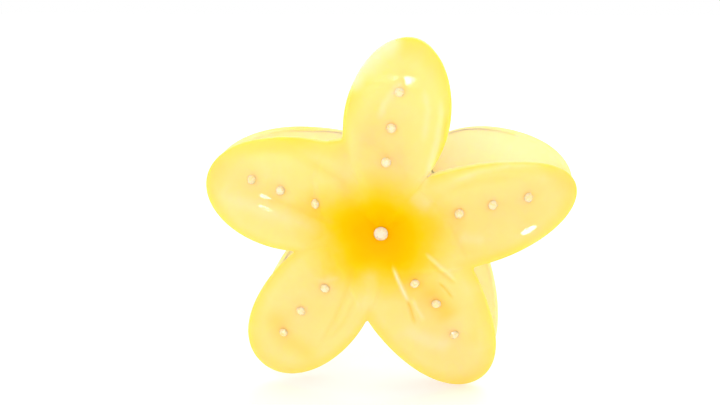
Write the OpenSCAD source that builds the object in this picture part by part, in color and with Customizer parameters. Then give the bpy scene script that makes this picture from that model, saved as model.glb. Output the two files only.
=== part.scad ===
// A flower-shaped claw clip for hair. Two five-petalled jaws hang on one steel pin, and a coil
// spring round the pin pushes the two top petals apart, so that the other petals close.
// +X is to the right of someone facing the front flower, +Y runs away from them, +Z is up.
// The clip stands on its lower petals, with the middle of its box over the origin.

/* [Flower] */
// Depth of the closed flower from the plane between the jaws, at its middle
bowl_depth = 15; // [12:0.5:18]
// Gap that the closed jaws leave on each side of that plane, at the petal tips
tip_gap = 1.4; // [1:0.1:2.5]
// How sharply the petals turn back towards the other jaw
bowl_power = 2.8; // [2.2:0.1:3.4]
// How far the flower's throat sinks in
throat_sink = 1.2; // [0:0.1:2]
// How far the middle of each petal is pressed in
petal_dish = 2.2; // [0:0.1:3]
// Height of the raised margin round each petal
petal_margin = 0.5; // [0:0.1:0.8]
// How far the thumb petal leans out, per millimetre of its length
thumb_lean = 0.1; // [0.05:0.01:0.2]
// How sharply the thumb petal's tip curls back towards the other jaw
thumb_curl = 0.026; // [0.01:0.002:0.028]

/* [Wall] */
// Wall at the middle of a jaw
wall_middle = 2.3; // [1.8:0.1:3]
// Wall at a petal's margin
wall_margin = 1.5; // [1.2:0.1:2]

/* [Hinge] */
// Height of the hinge above the flower's middle
hinge_rise = 13; // [12:0.5:15]
// Radius of the steel pin
pin_r = 0.9; // [0.7:0.05:1.2]
// Running clearance between the pin and the ears
pin_clearance = 0.05; // [0.02:0.01:0.1]
// Radius of the round end of an ear
ear_r = 2.8; // [2.4:0.1:3.2]
// Thickness of an ear
ear_t = 1.7; // [1.2:0.1:2]
// Clear space between two ears that lie side by side
ear_gap = 0.3; // [0.2:0.05:0.5]
// Middle of a jaw's inner ear from the middle of the pin
ear_x = 5; // [4.8:0.1:6]

/* [Spring] */
// Radius of the spring wire
wire_r = 0.45; // [0.35:0.05:0.5]
// Radius of the coil, to the middle of the wire
coil_r = 2.6; // [2.2:0.1:2.8]
// Number of turns
coil_turns = 6; // [4:1:6]
// Height above the flower's middle at which a spring leg presses on its handle
leg_rise = 20.5; // [18:0.5:22]
// Lean of a spring leg from the vertical
leg_lean = 46; // [40:1:50]

/* [Stones] */
// Radius of a petal stone
stone_r = 1; // [0.8:0.05:1.2]
// Radius of the middle stone
middle_stone_r = 1.45; // [1.2:0.05:1.8]
// Height of a stone, as a share of its radius
stone_height = 0.8; // [0.5:0.05:1]
// Depth of the moulded seat that a stone is glued into
seat_depth = 0.15; // [0.1:0.05:0.4]
// Clearance round a stone in its seat
seat_clearance = 0.06; // [0.04:0.01:0.15]

/* [Hidden] */
$fn = 48;

// A petal is [ellipse, angles of its stones, distances of its stones]. Its ellipse is
// [middle x, middle z, angle of the long axis, half length, half width].
// Each flower is seen from its own front. The rear one faces its neighbour petal for petal.
PETALS = ["top", "left", "lower_left", "lower_right", "right"];
front_petals = [
    [[3.1, 23.9, 79, 16.1, 10.4], [86.2, 84.8, 83], [15, 21.9, 29.4]],
    [[-17.2, 7.6, 179, 21.3, 11.7], [157, 159.2, 160.5], [14.7, 22.5, 29.1]],
    [[-14.7, -17, 235, 20.6, 11], [226.7, 226.8, 228.5], [17.1, 24.9, 32]],
    [[5.7, -8.7, 299.5, 31.9, 12.5], [303.4, 306.5, 303.8], [12.8, 19.4, 28]],
    [[15.9, 3.1, 10, 26, 10.5], [13.8, 13.3, 12], [16.4, 23.5, 31.1]]
];
rear_petals = [
    [[-3.4, 23.2, 101, 15.6, 10], [93.8, 95.2, 97], [15, 21.9, 29.4]],
    [[-22, 5.8, 169, 19.1, 12.6], [165, 165.8, 166.5], [16.4, 23.5, 31.1]],
    [[-9.5, -10.5, 244, 26.5, 13.2], [236, 234, 236], [12.8, 19.4, 28]],
    [[14, -16.8, 305, 20.6, 10.8], [315, 313.2, 311.5], [17.1, 24.9, 32]],
    [[15.6, 6, 12, 21.9, 12.2], [24, 21.8, 19.5], [14.7, 22.5, 29.1]]
];

dish_width = 5.5;
dish_starts = [7, 18];
dish_fades = 0.7;
dish_fades_from = 0.7;
margin_width = 4.5;
margin_edge = 0.6;
margin_starts = [8, 15];
throat_width = 5.5;
thumb_bend = 25;
thumb_dish_ends = [24, 31];
thumb_blend = [22, 52];
petal_spread = 28;
notch_sharpness = 28;
shortest_reach = 0.5;
slope_step = 0.05;

rings = 12;
spokes = 96;
ring_crowding = 1.35;
wall_fall = 3;
ear_root = [6.5, 9.5, 12.5, 15.5, 18.5];
ear_bite = 1.2;
rest_gap = 2;
rest_rib = 0.7;
rest_length = 4;
rest_height = 1.2;
rest_bite = 1;
pin_stands_out = 0.3;
bore_overrun = 1;
stone_girdle = 0.3;
stone_top = 0.55;

// 0 below a, 1 above b, and a soft step between them
function step(a, b, x) = let (t = min(1, max(0, (x - a) / (b - a)))) t * t * (3 - 2 * t);
function sum(list) = list * [for (v = list) 1];
function turn(a, b) = abs(((a - b) % 360 + 540) % 360 - 180);
function angle_of(p) = atan2(p[1], p[0]);

// A point in a petal's own axes, where its outline is the unit circle
function in_petal(petal, p) =
    let (e = petal[0], dx = p[0] - e[0], dz = p[1] - e[1], a = e[2])
    [(dx * cos(a) + dz * sin(a)) / e[3], (dz * cos(a) - dx * sin(a)) / e[4]];

// How far a ray from the flower's middle runs before it leaves the petal
function petal_reach(petal, angle) =
    let (
        from = in_petal(petal, [0, 0]),
        way = in_petal(petal, [cos(angle), sin(angle)]) - from,
        a = way * way,
        b = way * from,
        spare = b * b - a * (from * from - 1)
    )
    spare > 0 ? max(shortest_reach, (sqrt(spare) - b) / a) : shortest_reach;

// The flower's outline: the farthest petal on each ray, with the notches a little rounded
function flower_reach(petals, angle) =
    pow(sum([for (p = petals) pow(petal_reach(p, angle), notch_sharpness)]), 1 / notch_sharpness);

function tip(petal) =
    let (e = petal[0])
    [e[0] + e[3] * cos(e[2]), e[1] + e[3] * sin(e[2])];

// Length of the flower towards an angle, smooth from one petal tip to the next
function tip_reach(petals, angle) =
    let (
        share = [for (p = petals) exp(-pow(turn(angle, angle_of(tip(p))) / petal_spread, 2))],
        reach = [for (p = petals) norm(tip(p))]
    )
    share * reach / sum(share);

function claw_depth(petals, r, angle) =
    bowl_depth - (bowl_depth - tip_gap) * pow(r / tip_reach(petals, angle), bowl_power);
function thumb_depth(r) =
    bowl_depth + thumb_lean * r - thumb_curl * pow(max(0, r - thumb_bend), 2);

function stone_place(petal, i) = petal[2][i] * [cos(petal[1][i]), sin(petal[1][i])];

// The dish along the line of stones of one petal. It ends before the thumb petal curls, and runs
// shallower to the tips of the others.
function dish(petals, i, p) =
    let (
        a = (petals[i][1][0] + petals[i][1][2]) / 2,
        along = p[0] * cos(a) + p[1] * sin(a),
        across = p[1] * cos(a) - p[0] * sin(a),
        reach = norm(tip(petals[i])),
        fade = i == 0
            ? step(thumb_dish_ends[0], thumb_dish_ends[1], along)
            : dish_fades * step(dish_fades_from * reach, reach, along)
    )
    step(dish_starts[0], dish_starts[1], along) * (1 - fade) * exp(-pow(across / dish_width, 2));

// The raised margin of one petal, which drops off just outside its outline
function margin(petal, p) =
    let (inside = petal[0][4] * (1 - norm(in_petal(petal, p))))
    step(-margin_edge, margin_edge, inside) * exp(-pow(inside / margin_width, 2))
        * step(margin_starts[0], margin_starts[1], norm(p));

// Distance of a jaw's outer face from the plane between the jaws
function face_depth(petals, p) =
    let (
        r = norm(p),
        angle = r > 0 ? angle_of(p) : 0,
        thumb = 1 - step(thumb_blend[0], thumb_blend[1], turn(angle, angle_of(tip(petals[0])))),
        bowl = claw_depth(petals, r, angle) * (1 - thumb) + thumb_depth(r) * thumb
    )
    bowl - throat_sink * exp(-pow(r / throat_width, 2))
        - petal_dish * sum([for (i = [0:4]) dish(petals, i, p)])
        + petal_margin * max([for (petal = petals) margin(petal, p)]);

// The outward normal of the face, from its slope
function face_normal(petals, p) =
    let (
        h = slope_step,
        sx = (face_depth(petals, p + [h, 0]) - face_depth(petals, p - [h, 0])) / (2 * h),
        sz = (face_depth(petals, p + [0, h]) - face_depth(petals, p - [0, h])) / (2 * h),
        n = [-sx, -1, -sz]
    )
    n / norm(n);

function face_point(petals, p) = [p[0], -face_depth(petals, p), p[1]];
function wall(share) = wall_middle + (wall_margin - wall_middle) * pow(share, wall_fall);

// Rings crowd towards the outline, where the petals turn most
function ring_share(i) = 1 - pow(1 - i / rings, ring_crowding);
function spoke_angle(j) = 360 * j / spokes;
function on_flower(petals, i, j) =
    let (a = spoke_angle(j), r = ring_share(i) * flower_reach(petals, a))
    r * [cos(a), sin(a)];

// The clip's place: its box stands on z = 0, and is centred on x = 0
function reaches(petals) = [for (j = [0:spokes - 1]) on_flower(petals, rings, j)];
front_reach = reaches(front_petals);
rear_reach = [for (p = reaches(rear_petals)) [-p[0], p[1]]];
both_reach = concat(front_reach, rear_reach);
flower_x = -(max([for (p = both_reach) p[0]]) + min([for (p = both_reach) p[0]])) / 2;
flower_z = -min([for (p = both_reach) p[1]]);
hinge_z = flower_z + hinge_rise;
outer_ear_x = ear_x + ear_t + ear_gap;
pin_length = 2 * (outer_ear_x + ear_t / 2 + pin_stands_out);

function stone_node(side, petal, i) = str(side, "_", PETALS[petal], "_stone_", i + 1);

// One closed shell: the outer face, the inner face and the margin that joins them
module flower_shell(petals) {
    centre = [0, 0];
    outer = [for (i = [1:rings]) for (j = [0:spokes - 1]) face_point(petals, on_flower(petals, i, j))];
    inner = [for (i = [1:rings]) for (j = [0:spokes - 1])
        let (p = on_flower(petals, i, j))
        face_point(petals, p) - wall(ring_share(i)) * face_normal(petals, p)];
    count = rings * spokes;
    points = concat(outer, inner,
        [face_point(petals, centre), face_point(petals, centre) - wall(0) * face_normal(petals, centre)]);
    faces = concat(
        [for (j = [0:spokes - 1]) [2 * count, (j + 1) % spokes, j]],
        [for (j = [0:spokes - 1]) [2 * count + 1, count + j, count + (j + 1) % spokes]],
        [for (i = [0:rings - 2]) for (j = [0:spokes - 1])
            let (k = i * spokes + j, l = i * spokes + (j + 1) % spokes)
            each [[k, l, l + spokes], [k, l + spokes, k + spokes]]],
        [for (i = [0:rings - 2]) for (j = [0:spokes - 1])
            let (k = count + i * spokes + j, l = count + i * spokes + (j + 1) % spokes)
            each [[k, l + spokes, l], [k, k + spokes, l + spokes]]],
        [for (j = [0:spokes - 1])
            let (k = (rings - 1) * spokes + j, l = (rings - 1) * spokes + (j + 1) % spokes)
            each [[k, l, l + count], [k, l + count, k + count]]]
    );
    polyhedron(points, faces);
}

// A plate from the jaw's inner face to a round end on the pin
module ear(petals, x) {
    root = [
        for (z = ear_root)
        [wall_middle - ear_bite - face_depth(petals, [x, z]), z - hinge_rise]
    ];
    translate([x - ear_t / 2, 0, hinge_rise])
    rotate([90, 0, 90])
    linear_extrude(ear_t)
    union() {
        circle(ear_r);
        polygon(concat([[0, ear_r], [0, -ear_r]], root));
    }
}

// Two ribs inside the handle that keep the spring's leg between them
module spring_rest(petals) {
    for (side = [-1, 1])
        let (x = leg_x + side * rest_gap / 2, root = inner_depth(petals, [x, leg_rise]) + rest_bite)
        translate([x - rest_rib / 2, -root, leg_rise - rest_length / 2])
        cube([rest_rib, rest_bite + rest_height, rest_length]);
}

// Puts its children on the floor of a stone's seat, with +Z out of the face
module in_seat(petals, p) {
    n = face_normal(petals, p);
    translate(face_point(petals, p) - seat_depth * n)
    rotate([0, acos(n[2]), angle_of(n)])
    children();
}

// What a stone's seat takes out of the face
module seat_cut(r) cylinder(r = r + seat_clearance, h = seat_depth + stone_height * r);

module jaw(petals) {
    difference() {
        union() {
            flower_shell(petals);
            ear(petals, -outer_ear_x);
            ear(petals, ear_x);
            spring_rest(petals);
        }
        translate([-pin_length / 2 - bore_overrun, 0, hinge_rise])
        rotate([0, 90, 0])
        cylinder(r = pin_r + pin_clearance, h = pin_length + 2 * bore_overrun);
        in_seat(petals, [0, 0])
        seat_cut(middle_stone_r);
        for (petal = petals)
            for (i = [0:2])
                in_seat(petals, stone_place(petal, i))
                seat_cut(stone_r);
    }
}

// Puts its children at the flower's middle, facing the front or the rear
module at_flower(side) {
    translate([flower_x, 0, flower_z])
    rotate([0, 0, side == "front" ? 0 : 180])
    children();
}

// A flat-backed stone: a girdle, a tapering crown and a flat top
module stone(r) {
    girdle = stone_girdle * stone_height * r;
    cylinder(r = r, h = girdle);
    translate([0, 0, girdle])
    cylinder(r1 = r, r2 = stone_top * r, h = stone_height * r - girdle);
}

function side_petals(side) = side == "front" ? front_petals : rear_petals;

module petal_stone(side, petal, i) {
    color("lavenderblush")
    at_flower(side)
    in_seat(side_petals(side), stone_place(side_petals(side)[petal], i))
    stone(stone_r);
}

module middle_stone(side) {
    color("lavenderblush")
    at_flower(side)
    in_seat(side_petals(side), [0, 0])
    stone(middle_stone_r);
}

module front_jaw() {
    color([0.99, 0.9, 0.5])
    at_flower("front")
    jaw(front_petals);
}

module rear_jaw() {
    color([0.99, 0.9, 0.5])
    at_flower("rear")
    jaw(rear_petals);
}

module hinge_pin() {
    color("silver")
    translate([flower_x - pin_length / 2, 0, hinge_z])
    rotate([0, 90, 0])
    cylinder(r = pin_r, h = pin_length);
}

// The spring's wire runs down a leg from the front handle, round the pin, and up to the rear
// handle. The legs leave the coil along its tangents, so both ends have the coil's own axes.
coil_steps = 14;
wire_sides = 8;
coil_starts = 180 + leg_lean;
coil_sweep = 360 * coil_turns + 180 - 2 * leg_lean;
turn_gap = 0.12;
coil_pitch = 2 * wire_r + turn_gap;
coil_length = coil_pitch * coil_sweep / 360;
stations = coil_turns * coil_steps;

// Both legs stand at the same place in their own jaw, and end just short of its inner face
leg_x = -coil_length / 2;
leg_clearance = 0.2;
function inner_depth(petals, p) = face_depth(petals, p) - wall_middle;
function leg_length(petals) =
    (inner_depth(petals, [leg_x, leg_rise]) - leg_clearance - wire_r - coil_r * cos(leg_lean))
        / sin(leg_lean);

module spring_wire() {
    points = [
        for (k = [-1:stations + 1]) for (j = [0:wire_sides - 1])
        let (
            share = min(1, max(0, k / stations)),
            a = coil_starts + coil_sweep * share,
            leg = k < 0 ? -leg_length(front_petals) : (k > stations ? leg_length(rear_petals) : 0),
            out = [0, cos(a), sin(a)],
            along = [0, -sin(a), cos(a)],
            round = 360 * j / wire_sides
        )
        [coil_length * (share - 0.5), 0, 0] + leg * along
            + (coil_r + wire_r * cos(round)) * out + [wire_r * sin(round), 0, 0]
    ];
    last = (stations + 2) * wire_sides;
    sides = [
        for (k = [0:stations + 1]) for (j = [0:wire_sides - 1])
        let (m = k * wire_sides + j, n = k * wire_sides + (j + 1) % wire_sides)
        each [[m, m + wire_sides, n + wire_sides], [m, n + wire_sides, n]]
    ];
    ends = [
        [for (j = [0:wire_sides - 1]) j],
        [for (j = [0:wire_sides - 1]) last + wire_sides - 1 - j]
    ];
    polyhedron(points, concat(sides, ends));
}

module torsion_spring() {
    color("gainsboro")
    translate([flower_x, 0, hinge_z])
    spring_wire();
}

front_jaw();
rear_jaw();
hinge_pin();
torsion_spring();
middle_stone("front");  // front_middle_stone
middle_stone("rear");  // rear_middle_stone
for (side = ["front", "rear"])
    for (petal = [0:4])
        for (i = [0:2])
            petal_stone(side, petal, i);
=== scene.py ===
"""A flower claw clip for hair: two petalled jaws of translucent plastic, stones, a pin and a spring."""

import math

import bpy
import numpy as np
from mathutils import Matrix, Vector


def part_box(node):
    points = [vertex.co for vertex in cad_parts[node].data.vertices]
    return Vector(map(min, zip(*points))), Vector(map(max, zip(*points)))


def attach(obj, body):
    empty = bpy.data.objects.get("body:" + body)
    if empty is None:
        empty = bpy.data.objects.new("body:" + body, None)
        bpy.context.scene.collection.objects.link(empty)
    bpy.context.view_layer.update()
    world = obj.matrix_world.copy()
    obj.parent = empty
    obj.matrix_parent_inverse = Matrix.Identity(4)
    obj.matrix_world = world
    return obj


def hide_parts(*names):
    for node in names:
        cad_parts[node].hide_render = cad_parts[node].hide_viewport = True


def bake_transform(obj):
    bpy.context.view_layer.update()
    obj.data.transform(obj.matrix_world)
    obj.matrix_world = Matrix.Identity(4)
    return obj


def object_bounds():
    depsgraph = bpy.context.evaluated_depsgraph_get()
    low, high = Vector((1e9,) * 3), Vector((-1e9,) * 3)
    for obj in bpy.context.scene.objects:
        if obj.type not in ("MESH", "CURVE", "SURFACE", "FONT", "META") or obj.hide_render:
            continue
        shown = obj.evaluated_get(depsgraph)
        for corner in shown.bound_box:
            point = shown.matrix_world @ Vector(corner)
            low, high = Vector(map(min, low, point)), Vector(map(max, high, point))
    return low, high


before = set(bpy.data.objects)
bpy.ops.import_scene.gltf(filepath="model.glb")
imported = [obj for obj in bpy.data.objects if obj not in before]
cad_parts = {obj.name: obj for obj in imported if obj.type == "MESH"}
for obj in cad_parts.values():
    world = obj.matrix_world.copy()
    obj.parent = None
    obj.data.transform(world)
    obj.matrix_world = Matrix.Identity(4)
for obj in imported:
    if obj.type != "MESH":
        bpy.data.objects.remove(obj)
cad_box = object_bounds()

MM = 0.001

# The jaws' shape in millimetres and degrees, as the CAD model has it. Only the raised margin is
# a little lower, which leaves room for the folds.
BOWL_DEPTH, TIP_GAP, BOWL_POWER = 15.0, 1.4, 2.8
THROAT_SINK, THROAT_WIDTH = 1.2, 5.5
PETAL_SPREAD, NOTCH_SHARPNESS, SHORTEST_REACH = 28, 28, 0.5
DISH_DEPTH, DISH_WIDTH, DISH_STARTS = 2.2, 5.5, (7, 18)
DISH_FADES, DISH_FADES_FROM = 0.7, 0.7
MARGIN_HEIGHT, MARGIN_WIDTH, MARGIN_EDGE, MARGIN_STARTS = 0.44, 4.5, 0.6, (8, 15)
THUMB_LEAN, THUMB_CURL, THUMB_BEND = 0.1, 0.026, 25.0
THUMB_BLEND, THUMB_DISH_ENDS = (22, 52), (24, 31)
WALL_MIDDLE, WALL_MARGIN, WALL_FALL = 2.3, 1.5, 3

# How finely the petals' skin is made, and how its rim is rounded.
RINGS, SPOKES, RING_CROWDING, SLOPE_STEP = 80, 540, 1.35, 0.04
RIM_STEPS, RIM_BULGE, RIM_INSET, RIM_SMOOTHING = 8, 0.55, 0.38, 40

# The ears, with the heights of the points where they meet the jaw.
HINGE_RISE = 13.0
EAR_RADIUS, EAR_WALL, EAR_GAP, EAR_X = 2.8, 1.7, 0.3, 5.0
EAR_ROOT, EAR_BITE = (6.5, 8.5, 10.5, 12.5, 14.5, 16.5, 18.5), 1.2
EAR_BEVEL, EAR_BEVEL_STEPS, EAR_ARC_STEPS, BORE_STEP = 0.2, 3, 28, 10

# The pin, with a peened end as distances from the end and radii.
PIN_RADIUS, BORE_RADIUS, PIN_SIDES = 0.9, 0.95, 40
PEENED_END = ((0, 0.45), (0.04, 0.68), (0.15, 0.83), (0.35, PIN_RADIUS))

# The spring and the ribs that its legs rest between.
WIRE_RADIUS, COIL_RADIUS, COIL_TURNS, TURN_GAP = 0.45, 2.6, 6, 0.12
LEG_RISE, LEG_LEAN, LEG_CLEARANCE = 20.5, 46.0, 0.2
COIL_STEPS, LEG_STEPS, WIRE_SIDES = 300, 6, 20
REST_GAP, REST_RIB, REST_LENGTH, REST_HEIGHT, REST_BITE, REST_BEVEL = 2.0, 0.7, 4.0, 1.2, 1.0, 0.3
COIL_SWEEP = 360 * COIL_TURNS + 180 - 2 * LEG_LEAN
COIL_LENGTH = (2 * WIRE_RADIUS + TURN_GAP) * COIL_SWEEP / 360
LEG_X = -COIL_LENGTH / 2

# The stones. Height, table and star points are shares of the radius, the girdle of the height.
STONE_RADIUS, MIDDLE_STONE_RADIUS, SEAT_DEPTH = 1.0, 1.45, 0.15
STONE_HEIGHT, STONE_TABLE, STONE_STAR, STONE_GIRDLE = 0.8, 0.5, 0.8, 0.3

# A petal: its ellipse (middle x, middle z, angle of the long axis, half length, half width),
# and its stones' angles and distances. Each flower is seen from its own front.
PETAL_NAMES = ("top", "left", "lower_left", "lower_right", "right")
FRONT_PETALS = (
    ((3.1, 23.9, 79, 16.1, 10.4), (86.2, 84.8, 83), (15, 21.9, 29.4)),
    ((-17.2, 7.6, 179, 21.3, 11.7), (157, 159.2, 160.5), (14.7, 22.5, 29.1)),
    ((-14.7, -17, 235, 20.6, 11), (226.7, 226.8, 228.5), (17.1, 24.9, 32)),
    ((5.7, -8.7, 299.5, 31.9, 12.5), (303.4, 306.5, 303.8), (12.8, 19.4, 28)),
    ((15.9, 3.1, 10, 26, 10.5), (13.8, 13.3, 12), (16.4, 23.5, 31.1)),
)
REAR_PETALS = (
    ((-3.4, 23.2, 101, 15.6, 10), (93.8, 95.2, 97), (15, 21.9, 29.4)),
    ((-22, 5.8, 169, 19.1, 12.6), (165, 165.8, 166.5), (16.4, 23.5, 31.1)),
    ((-9.5, -10.5, 244, 26.5, 13.2), (236, 234, 236), (12.8, 19.4, 28)),
    ((14, -16.8, 305, 20.6, 10.8), (315, 313.2, 311.5), (17.1, 24.9, 32)),
    ((15.6, 6, 12, 21.9, 12.2), (24, 21.8, 19.5), (14.7, 22.5, 29.1)),
)

# A fold in the front flower: its line of points (x, z), its height, its half width, and how
# much painted highlight (above 0) or painted shade (below 0) is laid along it.
FOLDS = (
    # top petal
    (((-7.5, 29.0), (-5.0, 33.5), (-0.5, 38.0), (4.5, 40.0)), 0.0, 2.4, 1.6),
    (((4.6, 31.6), (2.9, 30.0), (0.6, 26.5), (-0.6, 23.0)), 0.2, 0.7, 0.5),
    (((8.2, 30.5), (9.2, 25.7), (8.3, 18.0)), 0.08, 0.7, 0.45),
    (((11.7, 29.0), (11.7, 24.8), (11.0, 19.8), (9.7, 14.8), (8.0, 8.0)), 0.0, 0.6, 0.6),
    (((12.9, 26.0), (12.4, 20.0), (10.9, 13.5)), -0.2, 0.45, -0.4),
    (((-5.0, 20.0), (-4.6, 27.0), (-1.5, 34.0)), -0.15, 1.2, -0.25),
    # left petal
    (
        ((-35.0, 14.0), (-24.2, 16.9), (-18.7, 16.7), (-14.5, 14.5), (-8.7, 11.6), (-3.0, 7.5)),
        -0.15,
        1.1,
        -0.45,
    ),
    (((-26.0, 7.0), (-14.6, 4.0), (-7.0, 1.5)), -0.15, 0.6, -0.4),
    (((-36.0, 6.0), (-27.0, 4.6), (-18.8, 2.4), (-9.0, 0.0)), 0.2, 1.6, 0.5),
    (((-24.0, 19.0), (-18.0, 18.6), (-11.5, 16.5)), 0.0, 1.3, -0.35),
    # lower left petal
    (((-1.4, -6.5), (-2.6, -12.0), (-4.4, -18.0)), 0.15, 1.7, 0.25),
    (((-5.7, -6.5), (-6.8, -12.2), (-9.6, -19.1), (-14.1, -27.5)), -0.2, 0.6, -0.4),
    (((-4.4, -12.5), (-7.5, -19.0), (-11.5, -24.5)), -0.1, 0.5, -0.3),
    (((-8.0, -9.5), (-11.5, -10.6), (-15.0, -10.0)), 0.1, 0.5, 0.3),
    (((-24.5, -17.0), (-20.5, -25.5), (-12.0, -30.0)), 0.0, 2.5, -0.8),
    # lower right petal
    (((2.3, -5.9), (3.6, -9.6), (6.3, -15.9)), 0.35, 0.4, 1.2),
    (((5.4, -14.0), (6.2, -16.4), (7.2, -20.0)), -0.4, 0.35, -1.0),
    (((6.5, -13.4), (7.6, -16.4), (9.5, -19.6)), 0.25, 0.5, 0.6),
    (((8.6, -3.3), (12.1, -6.5), (16.1, -10.2)), 0.2, 0.45, 0.6),
    (((9.9, -5.6), (12.6, -8.2), (15.7, -11.2)), -0.2, 0.4, -0.5),
    (((11.8, -10.2), (13.5, -12.0), (15.2, -14.4)), -0.3, 0.3, -0.8),
    (((4.0, -20.0), (10.0, -24.2), (16.0, -26.4)), 0.1, 1.7, 0.55),
    (((18.5, -12.0), (20.5, -20.0), (19.0, -27.5)), 0.1, 1.5, -0.35),
    (((9.0, -11.0), (12.0, -15.5), (15.5, -20.0)), 0.0, 2.6, -1.2),
    # right petal
    (((12.5, 8.8), (19.6, 10.8), (25.6, 11.3), (32.0, 10.6)), -0.2, 0.9, -0.35),
    (((12.6, 10.6), (19.5, 12.9), (26.1, 13.8), (34.0, 13.0)), 0.25, 0.8, 0.35),
    (((15.5, -0.6), (18.5, -1.2), (22.0, -1.6)), 0.1, 1.3, 0.4),
    (((6.4, 9.0), (8.0, 7.4), (10.5, 5.6)), 0.0, 1.6, 0.45),
    (((9.0, -1.0), (19.0, -4.5), (32.0, -3.5)), 0.15, 1.6, -0.4),
)

# The rear flower has the same folds, mirrored and shallower.
REAR_FOLD_SHARE = 0.3
REAR_FOLDS = [
    (tuple((-x, z) for x, z in line), REAR_FOLD_SHARE * height, width, tone)
    for line, height, width, tone in FOLDS
]

# The spots where a flower has kept its full polish: x, z and radius. It is duller elsewhere.
POLISHED = ((4.6, 32.0, 1.8), (-23.8, 6.8, 2.6), (30.4, 0.2, 2.4))
DULL = 0.03

# A place well inside the margin, for what has no margin of its own.
FAR_INSIDE = 9

pin_low, pin_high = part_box("hinge_pin")
HINGE = (pin_low + pin_high) / 2
PIN_LENGTH = (pin_high - pin_low).x / MM
MIDDLE = HINGE - Vector((0, 0, HINGE_RISE * MM))


def soft_step(low, high, value):
    share = np.clip((value - low) / (high - low), 0, 1)
    return share * share * (3 - 2 * share)


def cos(degrees):
    return np.cos(np.radians(degrees))


def sin(degrees):
    return np.sin(np.radians(degrees))


def way_to(azimuth, elevation):
    """The direction of something seen from the clip, 0, 0 being straight in front."""
    ahead = cos(elevation)
    return Vector((sin(azimuth) * ahead, -cos(azimuth) * ahead, sin(elevation)))


def at_hinge(points):
    """Points from the hinge's middle, in millimetres, in the row frame in metres."""
    return points * MM + np.array(HINGE)


def turn(a, b):
    """The angle between two directions, in degrees."""
    return np.abs((a - b + 180) % 360 - 180)


# ---- the flower's shape ----


class Petal:
    """One petal, in millimetres from its flower's middle."""

    def __init__(self, ellipse, stone_angles, stone_distances):
        self.x, self.z, self.angle, self.half_length, self.half_width = ellipse
        self.stone_angles, self.stone_distances = stone_angles, stone_distances
        tip_x = self.x + self.half_length * cos(self.angle)
        tip_z = self.z + self.half_length * sin(self.angle)
        self.reach = math.hypot(tip_x, tip_z)
        self.way = math.degrees(math.atan2(tip_z, tip_x))

    def stone_place(self, i):
        angle, distance = self.stone_angles[i], self.stone_distances[i]
        return distance * cos(angle), distance * sin(angle)

    def own_axes(self, x, z):
        """The point in the petal's own axes, where its outline is the unit circle."""
        dx, dz = x - self.x, z - self.z
        along = (dx * cos(self.angle) + dz * sin(self.angle)) / self.half_length
        across = (dz * cos(self.angle) - dx * sin(self.angle)) / self.half_width
        return along, across

    def reach_at(self, angle):
        """How far a ray from the flower's middle runs before it leaves the petal."""
        from_u, from_v = self.own_axes(0.0, 0.0)
        way_u, way_v = self.own_axes(cos(angle), sin(angle))
        way_u, way_v = way_u - from_u, way_v - from_v
        a = way_u**2 + way_v**2
        b = way_u * from_u + way_v * from_v
        spare = b * b - a * (from_u**2 + from_v**2 - 1)
        reach = (np.sqrt(np.maximum(spare, 0)) - b) / a
        return np.where(spare > 0, np.maximum(SHORTEST_REACH, reach), SHORTEST_REACH)

    def dish(self, x, z, is_thumb):
        """The channel along the petal's stones, from 0 to 1."""
        middle = (self.stone_angles[0] + self.stone_angles[2]) / 2
        along = x * cos(middle) + z * sin(middle)
        across = z * cos(middle) - x * sin(middle)
        if is_thumb:
            fade = soft_step(*THUMB_DISH_ENDS, along)
        else:
            fade = DISH_FADES * soft_step(DISH_FADES_FROM * self.reach, self.reach, along)
        channel = (1 - fade) * np.exp(-((across / DISH_WIDTH) ** 2))
        return soft_step(*DISH_STARTS, along) * channel

    def margin(self, x, z):
        """The raised margin, which drops off just outside the petal's outline."""
        inside = self.half_width * (1 - np.hypot(*self.own_axes(x, z)))
        band = soft_step(-MARGIN_EDGE, MARGIN_EDGE, inside) * np.exp(-((inside / MARGIN_WIDTH) ** 2))
        return band * soft_step(*MARGIN_STARTS, np.hypot(x, z))


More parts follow.
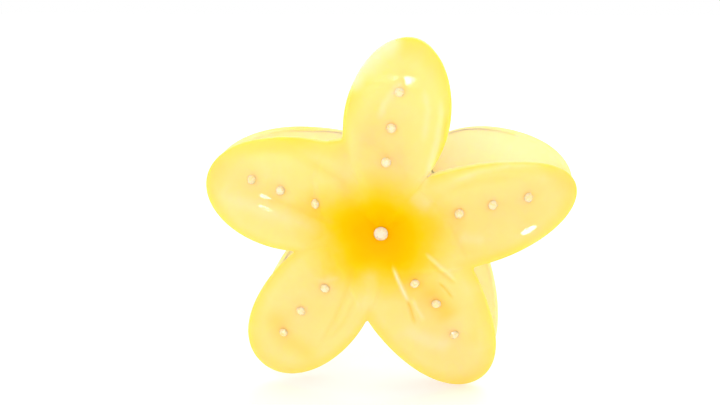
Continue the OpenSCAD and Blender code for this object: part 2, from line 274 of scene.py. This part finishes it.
class Flower:
    """One jaw's flower, in millimetres from its middle, seen from its own front."""

    def __init__(self, side, petals, folds):
        self.side = side
        self.petals = [Petal(*petal) for petal in petals]
        self.folds = folds

    def reach_at(self, angle):
        """The outline, with softened notches where the petals meet."""
        reaches = [petal.reach_at(angle) ** NOTCH_SHARPNESS for petal in self.petals]
        return sum(reaches) ** (1 / NOTCH_SHARPNESS)

    def tip_reach(self, angle):
        """The reach of the nearest petals' tips."""
        shares = [np.exp(-((turn(angle, petal.way) / PETAL_SPREAD) ** 2)) for petal in self.petals]
        reaches = [share * petal.reach for share, petal in zip(shares, self.petals)]
        return sum(reaches) / sum(shares)

    def depth(self, x, z, folded=True):
        """Distance of the outer face from the plane between the jaws."""
        r = np.hypot(x, z)
        angle = np.degrees(np.arctan2(z, x))
        claw = BOWL_DEPTH - (BOWL_DEPTH - TIP_GAP) * (r / self.tip_reach(angle)) ** BOWL_POWER
        thumb = BOWL_DEPTH + THUMB_LEAN * r - THUMB_CURL * np.maximum(0, r - THUMB_BEND) ** 2
        share = 1 - soft_step(*THUMB_BLEND, turn(angle, self.petals[0].way))
        face = claw * (1 - share) + thumb * share
        face = face - THROAT_SINK * np.exp(-((r / THROAT_WIDTH) ** 2))
        for petal in self.petals:
            face = face - DISH_DEPTH * petal.dish(x, z, petal is self.petals[0])
        margins = [petal.margin(x, z) for petal in self.petals]
        face = face + MARGIN_HEIGHT * np.maximum.reduce(margins)
        if folded:
            for line, height, width, _ in self.folds:
                face = face + height * fold(x, z, line, width)
        return face

    def painted_fold_light(self, x, z):
        """The painted light along the folds: painted highlight above 0, painted shade below 0."""
        return sum(tone * fold(x, z, line, width) for line, _, width, tone in self.folds)

    def polish(self, x, z):
        """How glossy the plastic is, from DULL to 1."""
        spots = [np.exp(-((((x - a) ** 2 + (z - b) ** 2) / r**2) ** 2)) for a, b, r in POLISHED]
        return DULL + (1 - DULL) * np.clip(sum(spots), 0, 1)

    def points(self, x, z, folded=True):
        return np.stack([x, -self.depth(x, z, folded), z], -1)

    def normals(self, x, z, folded=True):
        h = SLOPE_STEP
        slope_x = (self.depth(x + h, z, folded) - self.depth(x - h, z, folded)) / (2 * h)
        slope_z = (self.depth(x, z + h, folded) - self.depth(x, z - h, folded)) / (2 * h)
        normal = np.stack([-slope_x, -np.ones_like(slope_x), -slope_z], -1)
        return normal / np.linalg.norm(normal, axis=-1, keepdims=True)

    def placed(self, points):
        """Points of this flower in the row frame, in metres."""
        turned = points * ((1, 1, 1) if self.side == "front" else (-1, -1, 1))
        return turned * MM + np.array(MIDDLE)

    def place_matrix(self):
        half_turn = 0 if self.side == "front" else math.pi
        return Matrix.Translation(MIDDLE) @ Matrix.Rotation(half_turn, 4, "Z") @ Matrix.Scale(MM, 4)


def fold(x, z, line, width):
    """A narrow ridge along a line of points, which fades in and out at the line's ends."""
    near = np.full(np.shape(x), np.inf)
    share = np.zeros(np.shape(x))
    count = len(line) - 1
    for i, (start, end) in enumerate(zip(line, line[1:])):
        dx, dz = end[0] - start[0], end[1] - start[1]
        along = ((x - start[0]) * dx + (z - start[1]) * dz) / (dx * dx + dz * dz)
        along = np.clip(along, 0, 1)
        away = np.hypot(x - start[0] - along * dx, z - start[1] - along * dz)
        share = np.where(away < near, (i + along) / count, share)
        near = np.minimum(near, away)
    fading = 0.25
    strength = soft_step(0, fading, share) * (1 - soft_step(1 - fading, 1, share))
    return strength * np.exp(-((near / width) ** 2))


# ---- node materials ----


class Dye:
    """A socket in a material's nodes, which takes part in sums and products."""

    def __init__(self, tree, socket=None):
        self.tree, self.socket = tree, socket

    def node(self, kind, settings=None, sockets=None, out=0):
        """Adds a node: first its settings, then its sockets' values or links."""
        made = self.tree.nodes.new(kind)
        for name, value in (settings or {}).items():
            if name == "stops":
                ramp = made.color_ramp
                while len(ramp.elements) < len(value):
                    ramp.elements.new(0.5)
                for element, (place, colour) in zip(ramp.elements, value):
                    element.position, element.color = place, colour
            else:
                setattr(made, name, value)
        for name, value in (sockets or {}).items():
            if isinstance(value, Dye):
                self.tree.links.new(value.socket, made.inputs[name])
            else:
                made.inputs[name].default_value = value
        return Dye(self.tree, made.outputs[out])

    def sum(self, operation, *others):
        values = dict(enumerate((self, *others)))
        return self.node("ShaderNodeMath", {"operation": operation}, values)

    def __add__(self, other):
        return self.sum("ADD", other)

    __radd__ = __add__

    def __sub__(self, other):
        return self.sum("SUBTRACT", other)

    def __rsub__(self, other):
        return (self * -1.0) + other

    def __mul__(self, other):
        return self.sum("MULTIPLY", other)

    __rmul__ = __mul__

    def __truediv__(self, other):
        return self.sum("DIVIDE", other)

    def __pow__(self, other):
        return self.sum("POWER", other)

    def clamp(self):
        return self.node("ShaderNodeClamp", {}, {"Value": self})

    def band(self, low, high):
        """0 below low, 1 above high, with a soft step between."""
        settings = {"interpolation_type": "SMOOTHSTEP"}
        return self.node(
            "ShaderNodeMapRange", settings, {"Value": self, "From Min": low, "From Max": high}
        )

    def tint(self, share, colour):
        """This colour, turned into another by a share."""
        settings = {"data_type": "RGBA", "blend_type": "MIX"}
        return self.node("ShaderNodeMix", settings, {"Factor": share, 6: self, 7: colour}, 2)


def rgba(red, green, blue):
    return (red, green, blue, 1.0)


def finish_material(name, constants, drive):
    """A Principled material. constants go on the shader's sockets; drive(dye) gives the rest."""
    material = bpy.data.materials.new(name)
    material.use_nodes = True
    tree = material.node_tree
    shader = tree.nodes["Principled BSDF"]
    for socket, value in constants.items():
        shader.inputs[socket].default_value = value
    for socket, value in drive(Dye(tree)).items():
        tree.links.new(value.socket, shader.inputs[socket])
    return material


def rest_place(dye):
    """A point's place on the piece at rest, in metres."""
    return dye.node("ShaderNodeTexCoord", {}, {}, "Object")


def part_of(dye, vector, axis):
    return dye.node("ShaderNodeSeparateXYZ", {}, {"Vector": vector}, axis)


def painted(dye, name):
    """A value that was written on the skin's points."""
    return dye.node("ShaderNodeAttribute", {"attribute_name": name}, {}, "Fac")


def noise(dye, place, scale, detail=2.0):
    return dye.node("ShaderNodeTexNoise", {}, {"Vector": place, "Scale": scale, "Detail": detail})


def bumped(dye, height, strength, distance):
    sockets = {"Strength": strength, "Distance": distance, "Height": height}
    return dye.node("ShaderNodeBump", {}, sockets)


def petal_plastic():
    """Milky yellow plastic, glossy in spots, with orange yellow sprayed into the flower's throat, and
    painted light and shade at folds, edges and inner faces.
    """
    # How much further the spray reaches along some directions, as angle and extra share.
    spray_lobes = ((166, 0.42), (8, 0.22), (222, 0.26), (310, 0.24), (82, 0.02))
    lobe_sharpness = 9.0
    # The plastic's tint by its distance from the throat, as a share of the spray's length.
    spray_length = 20.0
    spray_stops = (
        (0.15, rgba(0.99, 0.44, 0.0)),
        (0.27, rgba(0.99, 0.48, 0.0)),
        (0.34, rgba(0.99, 0.515, 0.005)),
        (0.44, rgba(0.99, 0.54, 0.04)),
        (0.54, rgba(0.99, 0.575, 0.11)),
        (0.70, rgba(0.99, 0.615, 0.22)),
        (1.0, rgba(0.99, 0.61, 0.24)),
    )
    # Painted light: a paler cream for inner faces, standing in for light shining through the thin wall.
    backlit_cream = rgba(0.99, 0.78, 0.56)
    # The colours of the painted shade and the painted highlight, both also carrying random streaks.
    shade_and_streak_yellow = rgba(0.93, 0.53, 0.08)
    highlight_and_streak_cream = rgba(0.9, 0.68, 0.52)

    def sprayed(dye, place):
        """The distance from the throat in millimetres, shortened along the spray's lobes."""
        x = part_of(dye, place, "X") - MIDDLE.x
        z = part_of(dye, place, "Z") - MIDDLE.z
        r = (x * x + z * z + 1e-9) ** 0.5
        reach = 1.0
        for angle, more in spray_lobes:
            toward = (x * cos(angle) + z * sin(angle)) / r
            reach = toward.sum("MAXIMUM", 0.0) ** lobe_sharpness * more + reach
        cloud = noise(dye, place, scale=150.0, detail=3.0)
        return r / MM / reach + (cloud - 0.5) * 3.0

    def drive(dye):
        place = rest_place(dye)
        spray = sprayed(dye, place)
        colour = dye.node("ShaderNodeValToRGB", {"stops": spray_stops}, {"Fac": spray / spray_length})
        inner, milk, inset = painted(dye, "inner"), painted(dye, "milk"), painted(dye, "inset")
        # Painted light: the inner faces, the rim by degrees and the ears are turned paler, for light
        # shining through the thin wall.
        colour = colour.tint(inner, backlit_cream)
        streaks = noise(dye, place, scale=220.0) - 0.5
        # Painted shade: the tint deepens towards the outline, most of all on the outer face, standing
        # in for the darker edges where the plastic curves back.
        margin = 1.3 - inset.band(0.0, 5.6) - inset.band(0.0, 0.8) * 0.3
        margin = margin * (1.0 - inner * 0.85)
        # Painted highlight and painted shade along the folds, mixed with random streaks in the
        # plastic's tone.
        painted_highlight_and_streaks = (milk + streaks * 0.5).sum("MAXIMUM", 0.0) * 0.55
        painted_shade_and_streaks = (margin * 0.6 - milk * 0.6 - streaks * 0.2).sum("MAXIMUM", 0.0)
        beyond_throat = spray.band(5.0, 9.0)
        colour = colour.tint((painted_shade_and_streaks * beyond_throat).clamp(), shade_and_streak_yellow)
        colour = colour.tint((painted_highlight_and_streaks * beyond_throat).clamp(), highlight_and_streak_cream)
        fine = noise(dye, place, scale=900.0)
        wave = noise(dye, place, scale=160.0, detail=1.0)
        return {
            "Base Color": colour,
            "Roughness": fine * 0.06 + 0.45,
            "Coat Weight": painted(dye, "polish"),
            "Normal": bumped(dye, wave * 0.7 + fine * 0.06, 0.12, 0.6 * MM),
        }

    constants = {
        "Subsurface Weight": 1.0,
        "Subsurface Radius": (0.8, 0.65, 0.15),
        "Subsurface Scale": 8 * MM,
        "IOR": 1.45,
        "Specular IOR Level": 0.05,
        "Coat Roughness": 0.05,
    }
    return finish_material("petal_plastic", constants, drive)


def crystal(name, stops):
    """A cut stone of clear resin, tinted by its bed, with painted flashes and shade: a random tint on
    each facet.
    """

    def drive(dye):
        normal = dye.node("ShaderNodeNewGeometry", {}, {}, "True Normal")
        # Painted flashes and shade: a random tint per facet, for the light each facet catches.
        flash = dye.node("ShaderNodeTexWhiteNoise", {"noise_dimensions": "3D"}, {"Vector": normal})
        colour = dye.node("ShaderNodeValToRGB", {"stops": stops}, {"Fac": flash})
        return {"Base Color": colour, "Roughness": flash * 0.1 + 0.1}

    constants = {
        "IOR": 1.5,
        "Subsurface Weight": 1.0,
        "Subsurface Radius": (1.0, 0.8, 0.5),
        "Subsurface Scale": MM,
        "Coat Weight": 0.2,
        "Coat Roughness": 0.05,
    }
    return finish_material(name, constants, drive)


def steel(name, roughness):
    """Plated steel with fine marks in its surface."""
    stops = ((0.3, rgba(0.66, 0.66, 0.67)), (0.7, rgba(0.76, 0.76, 0.77)))

    def drive(dye):
        marks = noise(dye, rest_place(dye), scale=700.0)
        return {
            "Base Color": dye.node("ShaderNodeValToRGB", {"stops": stops}, {"Fac": marks}),
            "Roughness": marks * 0.15 + roughness,
            "Normal": bumped(dye, marks, 0.04, 0.02 * MM),
        }

    return finish_material(name, {"Metallic": 0.4}, drive)


# ---- pieces ----


def piece(name, vertices, faces, material, body, node, smooth=True):
    """A mesh with its material and slot, the body it rides on and the CAD node it replaces."""
    mesh = bpy.data.meshes.new(name)
    mesh.from_pydata(vertices, [], faces)
    mesh.update()
    mesh.polygons.foreach_set("use_smooth", [smooth] * len(mesh.polygons))
    mesh.materials.append(material)
    made = bpy.data.objects.new(name, mesh)
    bpy.context.scene.collection.objects.link(made)
    if body:
        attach(made, body)
    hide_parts(node)
    return made


def closed_rows(rows, first_pole, last_pole):
    """Vertices and faces of a closed skin: a pole, rows of equal length round it, and a pole."""
    count = len(rows[0])
    vertices = np.concatenate([*rows, [first_pole, last_pole]])
    ring = np.arange(count)
    after = (ring + 1) % count
    first, last = len(vertices) - 2, len(vertices) - 1
    faces = [(first, b, a) for a, b in zip(ring, after)]
    for i in range(len(rows) - 1):
        low, high = i * count, (i + 1) * count
        quads = np.stack([low + ring, low + after, high + after, high + ring], -1)
        faces.extend(map(tuple, quads.tolist()))
    end = (len(rows) - 1) * count
    faces += [(last, end + a, end + b) for a, b in zip(ring, after)]
    return vertices, faces


def flower_piece(flower, material):
    """The jaw's petals: outer face, rounded rim and inner face, in one skin."""
    angle = np.arange(SPOKES) * 360 / SPOKES
    reach = flower.reach_at(angle) - RIM_INSET
    share = 1 - (1 - np.arange(1, RINGS + 1) / RINGS) ** RING_CROWDING
    x = share[:, None] * reach * cos(angle)
    z = share[:, None] * reach * sin(angle)
    outer, normal = flower.points(x, z), flower.normals(x, z, False)
    wall = WALL_MIDDLE + (WALL_MARGIN - WALL_MIDDLE) * share**WALL_FALL
    inner = flower.points(x, z, False) - wall[:, None, None] * normal
    rim = rim_rows(outer[-1], inner[-1], normal[-1])
    rows = [flower.placed(row) for row in (*outer, *rim, *inner[::-1])]
    zero = np.zeros(1)
    pole = flower.points(zero, zero)
    inner_pole = pole - WALL_MIDDLE * flower.normals(zero, zero)
    vertices, faces = closed_rows(rows, flower.placed(pole)[0], flower.placed(inner_pole)[0])
    side = flower.side
    made = piece(side + "_petals", vertices, faces, material, side, side + "_jaw")
    # Painted for the plastic's tint and gloss: the distance in from the outline, which face it
    # is (outer 0, inner 1), the painted highlight and shade along the folds, and the polish.
    inset = (1 - share)[:, None] * reach
    milk, polish = flower.painted_fold_light(x, z), flower.polish(x, z)
    none, along_rim = 0 * inset, np.zeros((RIM_STEPS - 1, SPOKES))
    round_rim = along_rim + ((np.arange(1, RIM_STEPS) / RIM_STEPS) ** 0.5)[:, None]
    paint(made, "inset", (inset, along_rim, inset[::-1]), (FAR_INSIDE, FAR_INSIDE))
    paint(made, "inner", (none, round_rim, none + 1), (0, 1))
    paint(made, "milk", (milk, along_rim + milk[-1], none), (0, 0))
    paint(made, "polish", (polish, along_rim, none + DULL), (DULL, DULL))
    return made


def rim_rows(outer, inner, normal):
    """Rows round the rim, from the outer face's last row to the inner one's."""
    along = np.roll(outer, -1, 0) - np.roll(outer, 1, 0)
    out = np.cross(along, normal)
    for _ in range(RIM_SMOOTHING):
        out = out + np.roll(out, -1, 0) + np.roll(out, 1, 0)
        out /= np.linalg.norm(out, axis=-1, keepdims=True)
    middle = (outer + inner) / 2
    bends = [180 * step / RIM_STEPS for step in range(1, RIM_STEPS)]
    return [middle + cos(a) * WALL_MARGIN / 2 * normal + sin(a) * RIM_BULGE * out for a in bends]


def paint(made, name, rows, poles):
    """Writes a value for each point of a closed skin's rows and poles, for its material."""
    values = np.append(np.concatenate(rows), poles)
    attribute = made.data.attributes.new(name, "FLOAT", "POINT")
    attribute.data.foreach_set("value", values.astype(np.float32))


def ear_outline(flower, x):
    """The ear's side view, y and z from the hinge: round the pin, then along the jaw's inside."""
    web = []
    for z in EAR_ROOT:
        inside = WALL_MIDDLE - float(flower.depth(np.array(x), np.array(z)))
        web.append((inside - EAR_BITE, z - HINGE_RISE))
    start, end = tangent_angle(web[-1], 1), tangent_angle(web[0], -1)
    arc = [start + (end - start) * i / EAR_ARC_STEPS for i in range(EAR_ARC_STEPS + 1)]
    return [(EAR_RADIUS * cos(a), EAR_RADIUS * sin(a)) for a in arc] + web


def tangent_angle(point, side):
    """Where a line from the point touches the ear's round end, in degrees."""
    away = math.degrees(math.atan2(point[1], point[0])) % 360
    spread = math.degrees(math.acos(EAR_RADIUS / math.hypot(*point)))
    angle = away - side * spread
    return angle if side > 0 else angle - 360


def ear_mesh(flower, x):
    """One ear, a bevelled plate with the pin's bore through it."""
    curve = bpy.data.curves.new("ear", "CURVE")
    curve.dimensions, curve.fill_mode = "2D", "BOTH"
    curve.extrude, curve.offset = EAR_WALL / 2 - EAR_BEVEL, -EAR_BEVEL
    curve.bevel_depth, curve.bevel_resolution = EAR_BEVEL, EAR_BEVEL_STEPS
    bore = [(BORE_RADIUS * cos(a), BORE_RADIUS * sin(a)) for a in range(0, 360, BORE_STEP)]
    for outline in (ear_outline(flower, x), bore):
        spline = curve.splines.new("POLY")
        spline.points.add(len(outline) - 1)
        for point, (y, z) in zip(spline.points, outline):
            point.co = (y, z, 0, 1)
        spline.use_cyclic_u = True
    stand = bpy.data.objects.new("ear", curve)
    bpy.context.scene.collection.objects.link(stand)
    bpy.context.view_layer.update()
    shape = stand.evaluated_get(bpy.context.evaluated_depsgraph_get())
    mesh = bpy.data.meshes.new_from_object(shape)
    bpy.data.objects.remove(stand)
    upright = Matrix(((0, 0, 1, x), (1, 0, 0, 0), (0, 1, 0, HINGE_RISE), (0, 0, 0, 1)))
    mesh.transform(flower.place_matrix() @ upright)
    return mesh


def ears_piece(flower, material):
    """The jaw's two ears, and the ribs that hold the spring's leg."""
    shapes = []
    for mesh in [ear_mesh(flower, x) for x in (-(EAR_X + EAR_WALL + EAR_GAP), EAR_X)]:
        corners = [v.co[:] for v in mesh.vertices]
        shapes.append((corners, [tuple(p.vertices) for p in mesh.polygons]))
    shapes += [rib(flower, LEG_X + way * REST_GAP / 2) for way in (-1, 1)]
    vertices, faces = [], []
    for corners, sides in shapes:
        start = len(vertices)
        vertices += corners
        faces += [tuple(start + i for i in side) for side in sides]
    name, jaw = flower.side + "_ears", flower.side + "_jaw"
    made = piece(name, vertices, faces, material, flower.side, jaw, smooth=False)
    everywhere = np.ones(len(vertices))
    paint(made, "inset", (FAR_INSIDE * everywhere,), ())
    paint(made, "inner", (everywhere,), ())
    paint(made, "polish", (DULL * everywhere,), ())
    return made


def rib(flower, x):
    """A rib on the inside of the handle, with bevelled ends."""
    depth = float(flower.depth(np.array(x), np.array(LEG_RISE))) - WALL_MIDDLE
    root, crest, half = -depth - REST_BITE, REST_HEIGHT - depth, REST_LENGTH / 2
    outline = [
        (root, -half),
        (crest - REST_BEVEL, -half),
        (crest, -half + REST_BEVEL),
        (crest, half - REST_BEVEL),
        (crest - REST_BEVEL, half),
        (root, half),
    ]
    count = len(outline)
    corners = []
    for edge in (x - REST_RIB / 2, x + REST_RIB / 2):
        points = np.array([(edge, y, LEG_RISE + z) for y, z in outline])
        corners += [tuple(point) for point in flower.placed(points)]
    sides = [tuple(range(count)), tuple(range(2 * count - 1, count - 1, -1))]
    sides += [(i, i + count, (i + 1) % count + count, (i + 1) % count) for i in range(count)]
    return corners, sides


def cut_stone(radius):
    """A flat-backed round stone: a girdle, kite and star facets, and an eight-sided table."""
    height, table, star = STONE_HEIGHT * radius, STONE_TABLE * radius, STONE_STAR * radius
    girdle = STONE_GIRDLE * height
    fall = (height - girdle) / (radius - table)
    star_z = height - (star * math.cos(math.pi / 8) - table) * fall
    # Sixteen corners round the girdle, eight star points and eight corners of the table.
    ring = [(radius * cos(22.5 * k), radius * sin(22.5 * k)) for k in range(16)]
    vertices = [(x, y, 0) for x, y in ring] + [(x, y, girdle) for x, y in ring]
    vertices += [(star * cos(45 * k + 22.5), star * sin(45 * k + 22.5), star_z) for k in range(8)]
    vertices += [(table * cos(45 * k), table * sin(45 * k), height) for k in range(8)]
    base, top, stars, tables = 0, 16, 32, 40
    faces = [tuple(range(15, -1, -1)), tuple(range(tables, tables + 8))]
    for k in range(16):
        faces.append((base + k, base + (k + 1) % 16, top + (k + 1) % 16, top + k))
    for k in range(8):
        after, before = (k + 1) % 8, (k - 1) % 8
        faces.append((tables + k, stars + before, top + 2 * k, stars + k))
        faces.append((tables + k, stars + k, tables + after))
        faces.append((stars + k, top + 2 * k, top + 2 * k + 1))
        faces.append((stars + k, top + 2 * k + 1, top + (2 * k + 2) % 16))
    return vertices, faces


def stone_piece(flower, name, place, radius, material, spin):
    """A stone set on the flower's face, sunk a little into its glue."""
    x, z = np.array([place[0]]), np.array([place[1]])
    normal = Vector(flower.normals(x, z)[0])
    seat = Vector(flower.points(x, z)[0]) - SEAT_DEPTH * normal
    turned = normal.to_track_quat("Z", "Y").to_matrix().to_4x4()
    matrix = flower.place_matrix() @ Matrix.Translation(seat) @ turned
    matrix = matrix @ Matrix.Rotation(math.radians(spin), 4, "Z")
    vertices, faces = cut_stone(radius)
    vertices = [(matrix @ Vector(v))[:] for v in vertices]
    return piece(name, vertices, faces, material, flower.side, name, False)


def pin_piece(material):
    """The pin, with its ends peened to shallow domes."""
    half = PIN_LENGTH / 2
    profile = [(x - half, r) for x, r in PEENED_END]
    profile += [(-x, r) for x, r in reversed(profile)]
    around = np.arange(PIN_SIDES) * 360 / PIN_SIDES
    rows = [np.array([(x, -r * cos(a), r * sin(a)) for a in around]) for x, r in profile]
    poles = [np.array([end, 0, 0]) for end in (-half, half)]
    vertices, faces = closed_rows([at_hinge(row) for row in rows], *map(at_hinge, poles))
    return piece("pin", vertices, faces, material, "front", "hinge_pin")


def spring_piece(front, rear, material):
    """The coil spring: a leg up the front handle, the turns, and a leg up the rear handle."""
    sideways = np.array([1, 0, 0])

    def leg_length(flower):
        depth = float(flower.depth(np.array(LEG_X), np.array(LEG_RISE))) - WALL_MIDDLE
        spare = depth - LEG_CLEARANCE - WIRE_RADIUS - COIL_RADIUS * cos(LEG_LEAN)
        return spare / sin(LEG_LEAN)

    # Stations along the wire: the share of the turns, and the way along a straight leg.
    front_leg, rear_leg = leg_length(front), leg_length(rear)
    stations = [(0.0, front_leg * (k / LEG_STEPS - 1)) for k in range(LEG_STEPS)]
    stations += [(k / COIL_STEPS, 0.0) for k in range(COIL_STEPS + 1)]
    stations += [(1.0, rear_leg * k / LEG_STEPS) for k in range(1, LEG_STEPS + 1)]
    middles, rows = [], []
    around = np.arange(WIRE_SIDES) * 360 / WIRE_SIDES
    for share, leg in stations:
        a = 180 + LEG_LEAN + COIL_SWEEP * share
        out, along = np.array([0, cos(a), sin(a)]), np.array([0, -sin(a), cos(a)])
        middle = COIL_LENGTH * (share - 0.5) * sideways + leg * along + COIL_RADIUS * out
        ring = [middle + WIRE_RADIUS * (cos(b) * out + sin(b) * sideways) for b in around]
        middles.append(at_hinge(middle))
        rows.append(at_hinge(np.array(ring)))
    vertices, faces = closed_rows(rows, middles[0], middles[-1])
    made = piece("spring", vertices, faces, material, None, "torsion_spring")
    coil_end = Vector(((COIL_LENGTH / 2 - WIRE_RADIUS) * MM, 0, 0))
    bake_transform(made)
    return made


# ---- the stage ----

# The camera's azimuth and elevation, its distance, and its aim from the flower's middle.
CAMERA_ANGLES, CAMERA_DISTANCE, CAMERA_AIM = (3, 12), 0.22, Vector((-0.005, 0, 0.0035))
LIGHT_DISTANCE = 0.8
# Each softbox: name, azimuth, elevation, width in metres, power in watts, and whether it gleams.
SOFTBOXES = (
    ("left_gleam", -42, 30, 0.13, 0.8, True),
    ("right_gleam", 52, 10, 0.11, 0.6, True),
    ("middle_gleam", 2, 18, 0.2, 1.9, True),
    ("soft_light", -15, 20, 0.6, 1.8, False),
    ("back_light", 165, 30, 0.6, 2.0, False),
)


def stage_material():
    """A matt white sheet, which glows a little so that it stays white under the clip."""

    def drive(dye):
        grain = noise(dye, rest_place(dye), scale=30.0)
        return {"Roughness": grain * 0.1 + 0.6}

    constants = {
        "Base Color": rgba(0.97, 0.97, 0.98),
        "Specular IOR Level": 0.0,
        "Emission Color": rgba(0.95, 0.96, 1.0),
        "Emission Strength": 0.14,
    }
    return finish_material("studio_floor", constants, drive)


def floor():
    """A plain pale floor, a hair below the clip."""
    half = 3.0
    corners = [(-half, -half, 0), (half, -half, 0), (half, half, 0), (-half, half, 0)]
    mesh = bpy.data.meshes.new("floor")
    mesh.from_pydata(corners, [], [(0, 1, 2, 3)])
    mesh.materials.append(stage_material())
    made = bpy.data.objects.new("floor", mesh)
    made.location.z = cad_box[0][2] - 0.2 * MM
    made.visible_glossy = False
    bpy.context.scene.collection.objects.link(made)


def softbox(name, azimuth, elevation, width, power, gleam):
    """A round light aimed at the clip, which gives either gleams or soft light."""
    light = bpy.data.lights.new(name, "AREA")
    light.shape, light.size, light.energy = "DISK", width, power
    way = way_to(azimuth, elevation)
    made = bpy.data.objects.new(name, light)
    made.location = MIDDLE + way * LIGHT_DISTANCE
    made.rotation_euler = way.to_track_quat("Z", "Y").to_euler()
    made.visible_diffuse = made.visible_transmission = not gleam
    made.visible_glossy = gleam
    bpy.context.scene.collection.objects.link(made)


def studio():
    """White all round, but dim where the clip mirrors it, and five softboxes."""
    world = bpy.data.worlds.new("studio")
    world.use_nodes = True
    sky = world.node_tree.nodes["Background"]
    sky.inputs["Color"].default_value = rgba(1, 1, 1)
    dye = Dye(world.node_tree)
    seen = dye.node("ShaderNodeLightPath", {}, {}, "Is Camera Ray")
    glossy = dye.node("ShaderNodeLightPath", {}, {}, "Is Glossy Ray")
    mirrored = glossy * dye.node("ShaderNodeLightPath", {}, {}, "Is Reflection Ray")
    strength = 0.96 + seen * 0.04 - mirrored * 0.86
    world.node_tree.links.new(strength.socket, sky.inputs["Strength"])
    bpy.context.scene.world = world
    bpy.context.scene.view_settings.view_transform = "Standard"
    for softbox_settings in SOFTBOXES:
        softbox(*softbox_settings)
    floor()


def camera():
    way = way_to(*CAMERA_ANGLES)
    data = bpy.data.cameras.new("camera")
    data.lens, data.sensor_width = 50.7, 36
    data.clip_start = 0.01
    made = bpy.data.objects.new("camera", data)
    made.location = MIDDLE + CAMERA_AIM + way * CAMERA_DISTANCE
    made.rotation_euler = (-way).to_track_quat("-Z", "Y").to_euler()
    bpy.context.scene.collection.objects.link(made)
    bpy.context.scene.camera = made


# ---- the clip ----


camera()
studio()
plastic = petal_plastic()
small_look = crystal(
    "petal_crystal",
    (
        (0.0, rgba(0.99, 0.65, 0.31)),
        (0.35, rgba(0.99, 0.70, 0.37)),
        (0.55, rgba(0.96, 0.72, 0.46)),
        (0.8, rgba(0.99, 0.77, 0.53)),
        (1.0, rgba(0.91, 0.71, 0.52)),
    ),
)
middle_look = crystal(
    "middle_crystal",
    (
        (0.0, rgba(0.60, 0.58, 0.49)),
        (0.4, rgba(0.86, 0.70, 0.48)),
        (0.7, rgba(0.78, 0.71, 0.56)),
        (1.0, rgba(0.90, 0.77, 0.60)),
    ),
)
front = Flower("front", FRONT_PETALS, FOLDS)
rear = Flower("rear", REAR_PETALS, REAR_FOLDS)
for flower in (front, rear):
    flower_piece(flower, plastic)
    ears_piece(flower, plastic)
    name = flower.side + "_middle_stone"
    stone_piece(flower, name, (0, 0), MIDDLE_STONE_RADIUS, middle_look, 10)
    for petal, petal_name in zip(flower.petals, PETAL_NAMES):
        for i in range(3):
            name = f"{flower.side}_{petal_name}_stone_{i + 1}"
            spin = 17 * i + 40 * len(petal_name)
            stone_piece(flower, name, petal.stone_place(i), STONE_RADIUS, small_look, spin)
pin_piece(steel("pin_steel", 0.3))
spring_piece(front, rear, steel("wire_steel", 0.4))
